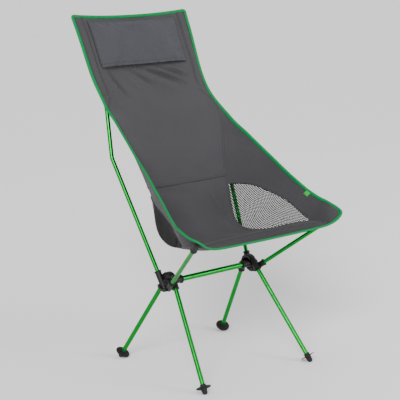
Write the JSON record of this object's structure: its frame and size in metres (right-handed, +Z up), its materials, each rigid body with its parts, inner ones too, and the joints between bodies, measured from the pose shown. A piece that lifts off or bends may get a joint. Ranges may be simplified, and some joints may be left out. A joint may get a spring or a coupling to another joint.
{
  "type": "folding camp chair",
  "caption": "High-backed folding camp chair: a fabric sling with mesh windows and a head pillow, hung on a shock-corded tube frame that plugs into moulded hubs.",
  "frame": {"origin": "on the floor, under the middle of the chair's bounding box", "axes": "+Z up, -Y towards the front (the way a sitter faces), +X to the side that is on the right when the chair is seen from its front"},
  "size_m": [0.5648, 0.6617, 1.0008],
  "materials": {
    "cloth": "matt plain-weave polyester",
    "mesh": "open knitted mesh",
    "tape": "ribbed grosgrain",
    "label": "smooth woven tape",
    "padding": "soft fleece",
    "tube": "bright green anodised",
    "ferrule": "satin",
    "plastic": "fine moulded grain",
    "rubber": "matt",
    "screw": "satin",
    "cord": "braided"
  },
  "bodies": {
    "frame": {"crossbar_tube": "tube", "crossbar_end_plugs": "plastic", "hub_screws": "screw", "hub_right": "plastic", "hub_left": "plastic", "shock_cord_knots": "cord"},
    "front_leg_right": {"front_leg_tube_right": "tube", "front_leg_foot_right": "rubber", "front_leg_end_plug_right": "plastic", "front_leg_shock_cord_right": "cord"},
    "rear_leg_right": {"rear_leg_tube_right": "tube", "rear_leg_foot_right": "rubber", "rear_leg_end_plug_right": "plastic", "rear_leg_shock_cord_right": "cord"},
    "front_leg_left": {"front_leg_tube_left": "tube", "front_leg_foot_left": "rubber", "front_leg_end_plug_left": "plastic", "front_leg_shock_cord_left": "cord"},
    "rear_leg_left": {"rear_leg_tube_left": "tube", "rear_leg_foot_left": "rubber", "rear_leg_end_plug_left": "plastic", "rear_leg_shock_cord_left": "cord"},
    "sling": {"back_panel": "cloth", "seat_panel": "cloth", "side_panel_right": "cloth", "side_panel_left": "cloth", "corner_tongue_right": "cloth", "corner_tongue_left": "cloth", "corner_pocket_right": "cloth", "corner_pocket_left": "cloth", "pole_sleeve_right": "cloth", "pole_sleeve_left": "cloth", "pillow_cover": "cloth", "mesh_window_right": "mesh", "mesh_window_left": "mesh", "edge_tape_right": "tape", "edge_tape_left": "tape", "top_tape": "tape", "front_tape": "tape", "blank_label": "label", "pillow_pad": "padding"},
    "front_pole_right": {"front_pole_tube_right": "tube", "front_pole_tip_right": "plastic", "front_pole_shock_cord_right": "cord"},
    "rear_pole_right": {"rear_pole_lower_tube_right": "tube", "rear_pole_bent_tube_right": "tube", "rear_pole_upper_tube_right": "tube", "rear_pole_ferrules_right": "ferrule", "rear_pole_tip_right": "plastic", "rear_pole_shock_cord_right": "cord"},
    "front_pole_left": {"front_pole_tube_left": "tube", "front_pole_tip_left": "plastic", "front_pole_shock_cord_left": "cord"},
    "rear_pole_left": {"rear_pole_lower_tube_left": "tube", "rear_pole_bent_tube_left": "tube", "rear_pole_upper_tube_left": "tube", "rear_pole_ferrules_left": "ferrule", "rear_pole_tip_left": "plastic", "rear_pole_shock_cord_left": "cord"}
  },
  "joints": [
    {"name": "front_leg_right_pull_out", "type": "slide", "parent": "frame", "child": "front_leg_right", "axis": [0.1444, -0.5881, -0.7958], "range_m": [0, 0.028]},
    {"name": "rear_leg_right_pull_out", "type": "slide", "parent": "frame", "child": "rear_leg_right", "axis": [0.1589, 0.5085, -0.8462], "range_m": [0, 0.028]},
    {"name": "front_leg_left_pull_out", "type": "slide", "parent": "frame", "child": "front_leg_left", "axis": [-0.1444, -0.5881, -0.7958], "range_m": [0, 0.028]},
    {"name": "rear_leg_left_pull_out", "type": "slide", "parent": "frame", "child": "rear_leg_left", "axis": [-0.1589, 0.5085, -0.8462], "range_m": [0, 0.028]},
    {"name": "sling_lift_off", "type": "slide", "parent": "frame", "child": "sling", "axis": [0, 0.4728, 0.8812], "range_m": [0, 0.3], "deforming": ["pole_sleeve_right", "pole_sleeve_left", "corner_pocket_right", "corner_pocket_left", "corner_tongue_right", "corner_tongue_left"]},
    {"name": "front_pole_right_pull_out", "type": "slide", "parent": "frame", "child": "front_pole_right", "axis": [0.292, -0.7474, 0.5968], "range_m": [0, 0.033]},
    {"name": "rear_pole_right_pull_out", "type": "slide", "parent": "frame", "child": "rear_pole_right", "axis": [0.1135, 0.4517, 0.8849], "range_m": [0, 0.039]},
    {"name": "front_pole_left_pull_out", "type": "slide", "parent": "frame", "child": "front_pole_left", "axis": [-0.292, -0.7474, 0.5968], "range_m": [0, 0.033]},
    {"name": "rear_pole_left_pull_out", "type": "slide", "parent": "frame", "child": "rear_pole_left", "axis": [-0.1135, 0.4517, 0.8849], "range_m": [0, 0.039]}
  ],
  "couplings": [
    {"joint": "front_pole_right_pull_out", "follows": "sling_lift_off", "ratio": 0.11},
    {"joint": "rear_pole_right_pull_out", "follows": "sling_lift_off", "ratio": 0.13},
    {"joint": "front_pole_left_pull_out", "follows": "sling_lift_off", "ratio": 0.11},
    {"joint": "rear_pole_left_pull_out", "follows": "sling_lift_off", "ratio": 0.13}
  ]
}
